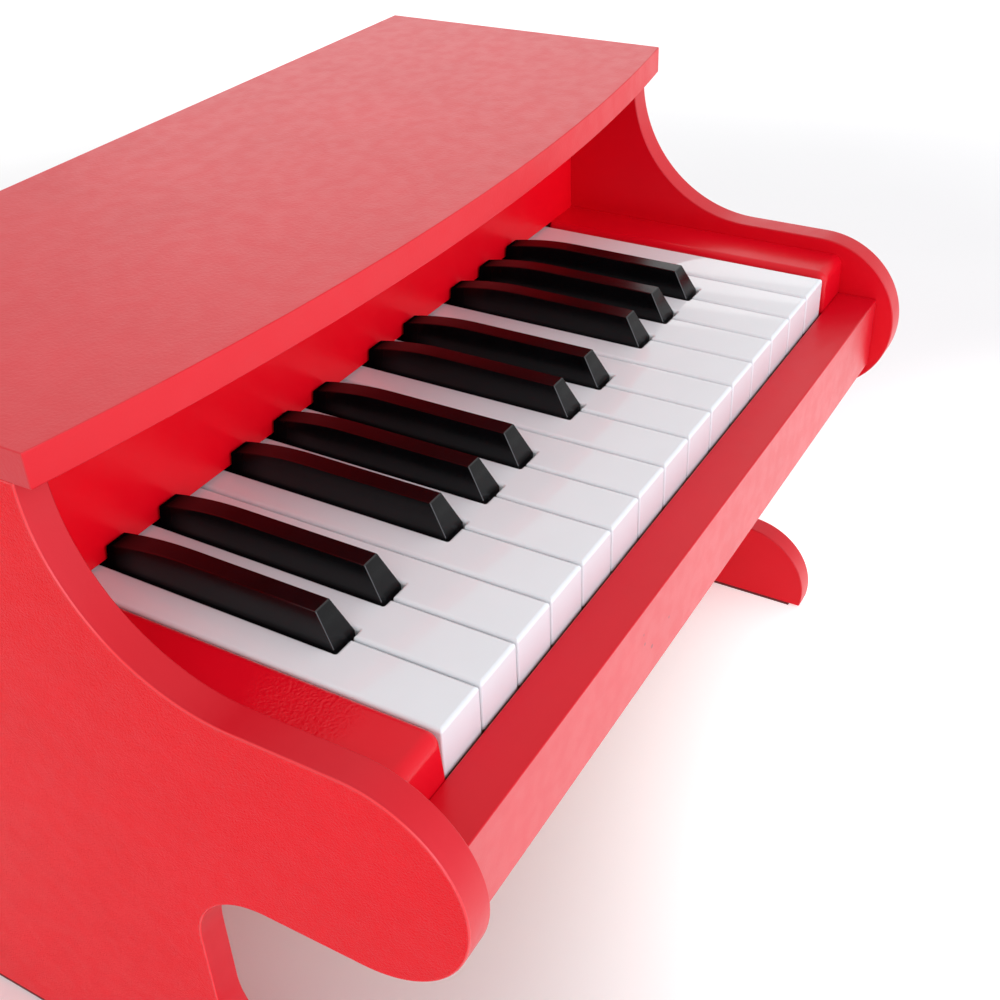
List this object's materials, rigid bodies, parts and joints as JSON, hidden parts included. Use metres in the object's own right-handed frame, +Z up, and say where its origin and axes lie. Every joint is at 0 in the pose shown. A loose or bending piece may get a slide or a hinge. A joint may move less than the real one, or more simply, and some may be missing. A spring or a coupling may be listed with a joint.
{
  "type": "toy piano",
  "caption": "Small upright toy piano with a two-octave keyboard, a hammer for each key, hanging tone rods and shaped side boards.",
  "frame": {"origin": "centre of the bounding box, on the surface the piano stands on", "axes": "+X along the keyboard from the bass end to the treble end, +Y from the key fronts to the back, +Z up"},
  "size_m": [0.4276, 0.3, 0.317],
  "materials": {
    "red_lacquer": "satin red lacquer on fibreboard, with a fine orange peel",
    "white_key": "polished white moulding",
    "black_key": "polished black moulding",
    "bare_wood": "sanded, unfinished",
    "tone_steel": "plain",
    "hammer": "moulded",
    "foot_rubber": "matte"
  },
  "bodies": {
    "case": {"side_boards": "red_lacquer", "lid": "red_lacquer", "front_panel": "red_lacquer", "back_panel": "red_lacquer", "key_bed": "bare_wood", "key_slip": "red_lacquer", "key_blocks": "red_lacquer", "hammer_rail": "bare_wood", "sound_block": "tone_steel", "foot_strips": "foot_rubber"},
    "key_c4": {"key_c4": "white_key"},
    "key_cs4": {"key_cs4": "black_key"},
    "key_d4": {"key_d4": "white_key"},
    "key_ds4": {"key_ds4": "black_key"},
    "key_e4": {"key_e4": "white_key"},
    "key_f4": {"key_f4": "white_key"},
    "key_fs4": {"key_fs4": "black_key"},
    "key_g4": {"key_g4": "white_key"},
    "key_gs4": {"key_gs4": "black_key"},
    "key_a4": {"key_a4": "white_key"},
    "key_as4": {"key_as4": "black_key"},
    "key_b4": {"key_b4": "white_key"},
    "key_c5": {"key_c5": "white_key"},
    "key_cs5": {"key_cs5": "black_key"},
    "key_d5": {"key_d5": "white_key"},
    "key_ds5": {"key_ds5": "black_key"},
    "key_e5": {"key_e5": "white_key"},
    "key_f5": {"key_f5": "white_key"},
    "key_fs5": {"key_fs5": "black_key"},
    "key_g5": {"key_g5": "white_key"},
    "key_gs5": {"key_gs5": "black_key"},
    "key_a5": {"key_a5": "white_key"},
    "key_as5": {"key_as5": "black_key"},
    "key_b5": {"key_b5": "white_key"},
    "key_c6": {"key_c6": "white_key"},
    "hammer_c4": {"hammer_c4": "hammer"},
    "hammer_cs4": {"hammer_cs4": "hammer"},
    "hammer_d4": {"hammer_d4": "hammer"},
    "hammer_ds4": {"hammer_ds4": "hammer"},
    "hammer_e4": {"hammer_e4": "hammer"},
    "hammer_f4": {"hammer_f4": "hammer"},
    "hammer_fs4": {"hammer_fs4": "hammer"},
    "hammer_g4": {"hammer_g4": "hammer"},
    "hammer_gs4": {"hammer_gs4": "hammer"},
    "hammer_a4": {"hammer_a4": "hammer"},
    "hammer_as4": {"hammer_as4": "hammer"},
    "hammer_b4": {"hammer_b4": "hammer"},
    "hammer_c5": {"hammer_c5": "hammer"},
    "hammer_cs5": {"hammer_cs5": "hammer"},
    "hammer_d5": {"hammer_d5": "hammer"},
    "hammer_ds5": {"hammer_ds5": "hammer"},
    "hammer_e5": {"hammer_e5": "hammer"},
    "hammer_f5": {"hammer_f5": "hammer"},
    "hammer_fs5": {"hammer_fs5": "hammer"},
    "hammer_g5": {"hammer_g5": "hammer"},
    "hammer_gs5": {"hammer_gs5": "hammer"},
    "hammer_a5": {"hammer_a5": "hammer"},
    "hammer_as5": {"hammer_as5": "hammer"},
    "hammer_b5": {"hammer_b5": "hammer"},
    "hammer_c6": {"hammer_c6": "hammer"}
  },
  "joints": [
    {"name": "key_c4_turn", "type": "hinge", "parent": "case", "child": "key_c4", "pos_m": [-0.16868, 0.056, 0.205], "axis": [1, 0, 0], "range_deg": [0, 2.95], "stiffness_Nm_per_rad": 0.2, "springref_deg": -17.19},
    {"name": "key_cs4_turn", "type": "hinge", "parent": "case", "child": "key_cs4", "pos_m": [-0.15487, 0.056, 0.205], "axis": [1, 0, 0], "range_deg": [0, 2.95], "stiffness_Nm_per_rad": 0.2, "springref_deg": -17.19},
    {"name": "key_d4_turn", "type": "hinge", "parent": "case", "child": "key_d4", "pos_m": [-0.141, 0.056, 0.205], "axis": [1, 0, 0], "range_deg": [0, 2.95], "stiffness_Nm_per_rad": 0.2, "springref_deg": -17.19},
    {"name": "key_ds4_turn", "type": "hinge", "parent": "case", "child": "key_ds4", "pos_m": [-0.12713, 0.056, 0.205], "axis": [1, 0, 0], "range_deg": [0, 2.95], "stiffness_Nm_per_rad": 0.2, "springref_deg": -17.19},
    {"name": "key_e4_turn", "type": "hinge", "parent": "case", "child": "key_e4", "pos_m": [-0.11332, 0.056, 0.205], "axis": [1, 0, 0], "range_deg": [0, 2.95], "stiffness_Nm_per_rad": 0.2, "springref_deg": -17.19},
    {"name": "key_f4_turn", "type": "hinge", "parent": "case", "child": "key_f4", "pos_m": [-0.09883, 0.056, 0.205], "axis": [1, 0, 0], "range_deg": [0, 2.95], "stiffness_Nm_per_rad": 0.2, "springref_deg": -17.19},
    {"name": "key_fs4_turn", "type": "hinge", "parent": "case", "child": "key_fs4", "pos_m": [-0.08566, 0.056, 0.205], "axis": [1, 0, 0], "range_deg": [0, 2.95], "stiffness_Nm_per_rad": 0.2, "springref_deg": -17.19},
    {"name": "key_g4_turn", "type": "hinge", "parent": "case", "child": "key_g4", "pos_m": [-0.0722, 0.056, 0.205], "axis": [1, 0, 0], "range_deg": [0, 2.95], "stiffness_Nm_per_rad": 0.2, "springref_deg": -17.19},
    {"name": "key_gs4_turn", "type": "hinge", "parent": "case", "child": "key_gs4", "pos_m": [-0.05875, 0.056, 0.205], "axis": [1, 0, 0], "range_deg": [0, 2.95], "stiffness_Nm_per_rad": 0.2, "springref_deg": -17.19},
    {"name": "key_a4_turn", "type": "hinge", "parent": "case", "child": "key_a4", "pos_m": [-0.0453, 0.056, 0.205], "axis": [1, 0, 0], "range_deg": [0, 2.95], "stiffness_Nm_per_rad": 0.2, "springref_deg": -17.19},
    {"name": "key_as4_turn", "type": "hinge", "parent": "case", "child": "key_as4", "pos_m": [-0.03184, 0.056, 0.205], "axis": [1, 0, 0], "range_deg": [0, 2.95], "stiffness_Nm_per_rad": 0.2, "springref_deg": -17.19},
    {"name": "key_b4_turn", "type": "hinge", "parent": "case", "child": "key_b4", "pos_m": [-0.01867, 0.056, 0.205], "axis": [1, 0, 0], "range_deg": [0, 2.95], "stiffness_Nm_per_rad": 0.2, "springref_deg": -17.19},
    {"name": "key_c5_turn", "type": "hinge", "parent": "case", "child": "key_c5", "pos_m": [-0.00418, 0.056, 0.205], "axis": [1, 0, 0], "range_deg": [0, 2.95], "stiffness_Nm_per_rad": 0.2, "springref_deg": -17.19},
    {"name": "key_cs5_turn", "type": "hinge", "parent": "case", "child": "key_cs5", "pos_m": [0.00963, 0.056, 0.205], "axis": [1, 0, 0], "range_deg": [0, 2.95], "stiffness_Nm_per_rad": 0.2, "springref_deg": -17.19},
    {"name": "key_d5_turn", "type": "hinge", "parent": "case", "child": "key_d5", "pos_m": [0.0235, 0.056, 0.205], "axis": [1, 0, 0], "range_deg": [0, 2.95], "stiffness_Nm_per_rad": 0.2, "springref_deg": -17.19},
    {"name": "key_ds5_turn", "type": "hinge", "parent": "case", "child": "key_ds5", "pos_m": [0.03737, 0.056, 0.205], "axis": [1, 0, 0], "range_deg": [0, 2.95], "stiffness_Nm_per_rad": 0.2, "springref_deg": -17.19},
    {"name": "key_e5_turn", "type": "hinge", "parent": "case", "child": "key_e5", "pos_m": [0.05118, 0.056, 0.205], "axis": [1, 0, 0], "range_deg": [0, 2.95], "stiffness_Nm_per_rad": 0.2, "springref_deg": -17.19},
    {"name": "key_f5_turn", "type": "hinge", "parent": "case", "child": "key_f5", "pos_m": [0.06567, 0.056, 0.205], "axis": [1, 0, 0], "range_deg": [0, 2.95], "stiffness_Nm_per_rad": 0.2, "springref_deg": -17.19},
    {"name": "key_fs5_turn", "type": "hinge", "parent": "case", "child": "key_fs5", "pos_m": [0.07884, 0.056, 0.205], "axis": [1, 0, 0], "range_deg": [0, 2.95], "stiffness_Nm_per_rad": 0.2, "springref_deg": -17.19},
    {"name": "key_g5_turn", "type": "hinge", "parent": "case", "child": "key_g5", "pos_m": [0.0923, 0.056, 0.205], "axis": [1, 0, 0], "range_deg": [0, 2.95], "stiffness_Nm_per_rad": 0.2, "springref_deg": -17.19},
    {"name": "key_gs5_turn", "type": "hinge", "parent": "case", "child": "key_gs5", "pos_m": [0.10575, 0.056, 0.205], "axis": [1, 0, 0], "range_deg": [0, 2.95], "stiffness_Nm_per_rad": 0.2, "springref_deg": -17.19},
    {"name": "key_a5_turn", "type": "hinge", "parent": "case", "child": "key_a5", "pos_m": [0.1192, 0.056, 0.205], "axis": [1, 0, 0], "range_deg": [0, 2.95], "stiffness_Nm_per_rad": 0.2, "springref_deg": -17.19},
    {"name": "key_as5_turn", "type": "hinge", "parent": "case", "child": "key_as5", "pos_m": [0.13266, 0.056, 0.205], "axis": [1, 0, 0], "range_deg": [0, 2.95], "stiffness_Nm_per_rad": 0.2, "springref_deg": -17.19},
    {"name": "key_b5_turn", "type": "hinge", "parent": "case", "child": "key_b5", "pos_m": [0.14583, 0.056, 0.205], "axis": [1, 0, 0], "range_deg": [0, 2.95], "stiffness_Nm_per_rad": 0.2, "springref_deg": -17.19},
    {"name": "key_c6_turn", "type": "hinge", "parent": "case", "child": "key_c6", "pos_m": [0.1645, 0.056, 0.205], "axis": [1, 0, 0], "range_deg": [0, 2.95], "stiffness_Nm_per_rad": 0.2, "springref_deg": -17.19},
    {"name": "hammer_c4_swing", "type": "hinge", "parent": "case", "child": "hammer_c4", "pos_m": [-0.16868, 0.123, 0.232], "axis": [1, 0, 0], "range_deg": [-14.75, 0]},
    {"name": "hammer_cs4_swing", "type": "hinge", "parent": "case", "child": "hammer_cs4", "pos_m": [-0.15487, 0.123, 0.232], "axis": [1, 0, 0], "range_deg": [-14.75, 0]},
    {"name": "hammer_d4_swing", "type": "hinge", "parent": "case", "child": "hammer_d4", "pos_m": [-0.141, 0.123, 0.232], "axis": [1, 0, 0], "range_deg": [-14.75, 0]},
    {"name": "hammer_ds4_swing", "type": "hinge", "parent": "case", "child": "hammer_ds4", "pos_m": [-0.12713, 0.123, 0.232], "axis": [1, 0, 0], "range_deg": [-14.75, 0]},
    {"name": "hammer_e4_swing", "type": "hinge", "parent": "case", "child": "hammer_e4", "pos_m": [-0.11332, 0.123, 0.232], "axis": [1, 0, 0], "range_deg": [-14.75, 0]},
    {"name": "hammer_f4_swing", "type": "hinge", "parent": "case", "child": "hammer_f4", "pos_m": [-0.09883, 0.123, 0.232], "axis": [1, 0, 0], "range_deg": [-14.75, 0]},
    {"name": "hammer_fs4_swing", "type": "hinge", "parent": "case", "child": "hammer_fs4", "pos_m": [-0.08566, 0.123, 0.232], "axis": [1, 0, 0], "range_deg": [-14.75, 0]},
    {"name": "hammer_g4_swing", "type": "hinge", "parent": "case", "child": "hammer_g4", "pos_m": [-0.0722, 0.123, 0.232], "axis": [1, 0, 0], "range_deg": [-14.75, 0]},
    {"name": "hammer_gs4_swing", "type": "hinge", "parent": "case", "child": "hammer_gs4", "pos_m": [-0.05875, 0.123, 0.232], "axis": [1, 0, 0], "range_deg": [-14.75, 0]},
    {"name": "hammer_a4_swing", "type": "hinge", "parent": "case", "child": "hammer_a4", "pos_m": [-0.0453, 0.123, 0.232], "axis": [1, 0, 0], "range_deg": [-14.75, 0]},
    {"name": "hammer_as4_swing", "type": "hinge", "parent": "case", "child": "hammer_as4", "pos_m": [-0.03184, 0.123, 0.232], "axis": [1, 0, 0], "range_deg": [-14.75, 0]},
    {"name": "hammer_b4_swing", "type": "hinge", "parent": "case", "child": "hammer_b4", "pos_m": [-0.01867, 0.123, 0.232], "axis": [1, 0, 0], "range_deg": [-14.75, 0]},
    {"name": "hammer_c5_swing", "type": "hinge", "parent": "case", "child": "hammer_c5", "pos_m": [-0.00418, 0.123, 0.232], "axis": [1, 0, 0], "range_deg": [-14.75, 0]},
    {"name": "hammer_cs5_swing", "type": "hinge", "parent": "case", "child": "hammer_cs5", "pos_m": [0.00963, 0.123, 0.232], "axis": [1, 0, 0], "range_deg": [-14.75, 0]},
    {"name": "hammer_d5_swing", "type": "hinge", "parent": "case", "child": "hammer_d5", "pos_m": [0.0235, 0.123, 0.232], "axis": [1, 0, 0], "range_deg": [-14.75, 0]},
    {"name": "hammer_ds5_swing", "type": "hinge", "parent": "case", "child": "hammer_ds5", "pos_m": [0.03737, 0.123, 0.232], "axis": [1, 0, 0], "range_deg": [-14.75, 0]},
    {"name": "hammer_e5_swing", "type": "hinge", "parent": "case", "child": "hammer_e5", "pos_m": [0.05118, 0.123, 0.232], "axis": [1, 0, 0], "range_deg": [-14.75, 0]},
    {"name": "hammer_f5_swing", "type": "hinge", "parent": "case", "child": "hammer_f5", "pos_m": [0.06567, 0.123, 0.232], "axis": [1, 0, 0], "range_deg": [-14.75, 0]},
    {"name": "hammer_fs5_swing", "type": "hinge", "parent": "case", "child": "hammer_fs5", "pos_m": [0.07884, 0.123, 0.232], "axis": [1, 0, 0], "range_deg": [-14.75, 0]},
    {"name": "hammer_g5_swing", "type": "hinge", "parent": "case", "child": "hammer_g5", "pos_m": [0.0923, 0.123, 0.232], "axis": [1, 0, 0], "range_deg": [-14.75, 0]},
    {"name": "hammer_gs5_swing", "type": "hinge", "parent": "case", "child": "hammer_gs5", "pos_m": [0.10575, 0.123, 0.232], "axis": [1, 0, 0], "range_deg": [-14.75, 0]},
    {"name": "hammer_a5_swing", "type": "hinge", "parent": "case", "child": "hammer_a5", "pos_m": [0.1192, 0.123, 0.232], "axis": [1, 0, 0], "range_deg": [-14.75, 0]},
    {"name": "hammer_as5_swing", "type": "hinge", "parent": "case", "child": "hammer_as5", "pos_m": [0.13266, 0.123, 0.232], "axis": [1, 0, 0], "range_deg": [-14.75, 0]},
    {"name": "hammer_b5_swing", "type": "hinge", "parent": "case", "child": "hammer_b5", "pos_m": [0.14583, 0.123, 0.232], "axis": [1, 0, 0], "range_deg": [-14.75, 0]},
    {"name": "hammer_c6_swing", "type": "hinge", "parent": "case", "child": "hammer_c6", "pos_m": [0.1645, 0.123, 0.232], "axis": [1, 0, 0], "range_deg": [-14.75, 0]}
  ],
  "couplings": [
    {"joint": "hammer_c4_swing", "follows": "key_c4_turn", "ratio": -5},
    {"joint": "hammer_cs4_swing", "follows": "key_cs4_turn", "ratio": -5},
    {"joint": "hammer_d4_swing", "follows": "key_d4_turn", "ratio": -5},
    {"joint": "hammer_ds4_swing", "follows": "key_ds4_turn", "ratio": -5},
    {"joint": "hammer_e4_swing", "follows": "key_e4_turn", "ratio": -5},
    {"joint": "hammer_f4_swing", "follows": "key_f4_turn", "ratio": -5},
    {"joint": "hammer_fs4_swing", "follows": "key_fs4_turn", "ratio": -5},
    {"joint": "hammer_g4_swing", "follows": "key_g4_turn", "ratio": -5},
    {"joint": "hammer_gs4_swing", "follows": "key_gs4_turn", "ratio": -5},
    {"joint": "hammer_a4_swing", "follows": "key_a4_turn", "ratio": -5},
    {"joint": "hammer_as4_swing", "follows": "key_as4_turn", "ratio": -5},
    {"joint": "hammer_b4_swing", "follows": "key_b4_turn", "ratio": -5},
    {"joint": "hammer_c5_swing", "follows": "key_c5_turn", "ratio": -5},
    {"joint": "hammer_cs5_swing", "follows": "key_cs5_turn", "ratio": -5},
    {"joint": "hammer_d5_swing", "follows": "key_d5_turn", "ratio": -5},
    {"joint": "hammer_ds5_swing", "follows": "key_ds5_turn", "ratio": -5},
    {"joint": "hammer_e5_swing", "follows": "key_e5_turn", "ratio": -5},
    {"joint": "hammer_f5_swing", "follows": "key_f5_turn", "ratio": -5},
    {"joint": "hammer_fs5_swing", "follows": "key_fs5_turn", "ratio": -5},
    {"joint": "hammer_g5_swing", "follows": "key_g5_turn", "ratio": -5},
    {"joint": "hammer_gs5_swing", "follows": "key_gs5_turn", "ratio": -5},
    {"joint": "hammer_a5_swing", "follows": "key_a5_turn", "ratio": -5},
    {"joint": "hammer_as5_swing", "follows": "key_as5_turn", "ratio": -5},
    {"joint": "hammer_b5_swing", "follows": "key_b5_turn", "ratio": -5},
    {"joint": "hammer_c6_swing", "follows": "key_c6_turn", "ratio": -5}
  ]
}
